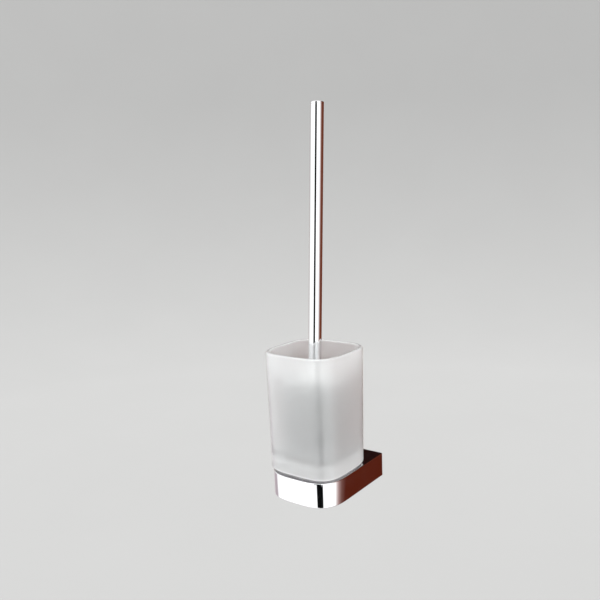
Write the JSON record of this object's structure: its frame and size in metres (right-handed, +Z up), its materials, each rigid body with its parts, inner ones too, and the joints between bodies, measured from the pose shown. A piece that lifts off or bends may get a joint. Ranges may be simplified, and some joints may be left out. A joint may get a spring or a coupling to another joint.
{
  "type": "toilet brush holder",
  "caption": "Wall-mounted toilet brush set: a frosted glass cup in a chrome holder on a concealed wall plate, with a brush on a slim chrome handle.",
  "frame": {"origin": "on the wall, at the centre of the wall plate's back face, at the holder's mid-height", "axes": "+Z up, +Y into the wall, -Y out into the room, +X to the right as seen facing the wall"},
  "size_m": [0.085, 0.1071, 0.3939],
  "materials": {
    "chrome": "mirror-polished chrome plate",
    "frosted_glass": "thick clear glass, acid-frosted outside and in",
    "clear_plastic": "translucent moulded plastic",
    "white_plastic": "white moulded plastic",
    "bristle": "white nylon bristle",
    "stainless": "plain stainless steel",
    "brass": "turned brass"
  },
  "bodies": {
    "wall_fixing": {"wall_plate": "stainless", "wall_screw_left": "stainless", "wall_screw_right": "stainless", "screw_washer_left": "stainless", "screw_washer_right": "stainless"},
    "holder": {"holder_body": "chrome", "cup_seat": "clear_plastic"},
    "grub_screw": {"grub_screw": "stainless"},
    "cup": {"glass_cup": "frosted_glass"},
    "brush_handle": {"handle_tube": "chrome", "handle_cap": "chrome", "handle_bush": "brass"},
    "brush_head": {"head_stud": "stainless", "brush_core": "white_plastic", "bristle_row_1": "bristle", "bristle_row_2": "bristle", "bristle_row_3": "bristle", "bristle_row_4": "bristle", "bristle_row_5": "bristle", "bristle_row_6": "bristle", "bristle_row_7": "bristle", "bristle_tip": "bristle"}
  },
  "joints": [
    {"name": "holder_pull_off", "type": "slide", "parent": "wall_fixing", "child": "holder", "axis": [0, -1, 0], "range_m": [0, 0.02]},
    {"name": "grub_screw_travel", "type": "slide", "parent": "holder", "child": "grub_screw", "axis": [0, 0, -1], "range_m": [0, 0.003]},
    {"name": "cup_lift", "type": "slide", "parent": "holder", "child": "cup", "axis": [0, 0, 1], "range_m": [0, 0.06]},
    {"name": "brush_lift", "type": "slide", "parent": "cup", "child": "brush_handle", "axis": [0, 0, 1], "range_m": [0, 0.12]},
    {"name": "head_unscrew", "type": "hinge", "parent": "brush_handle", "child": "brush_head", "pos_m": [-0.00236, -0.06748, 0.0329], "axis": [0.0293, 0.0296, 0.9991], "continuous": true}
  ]
}
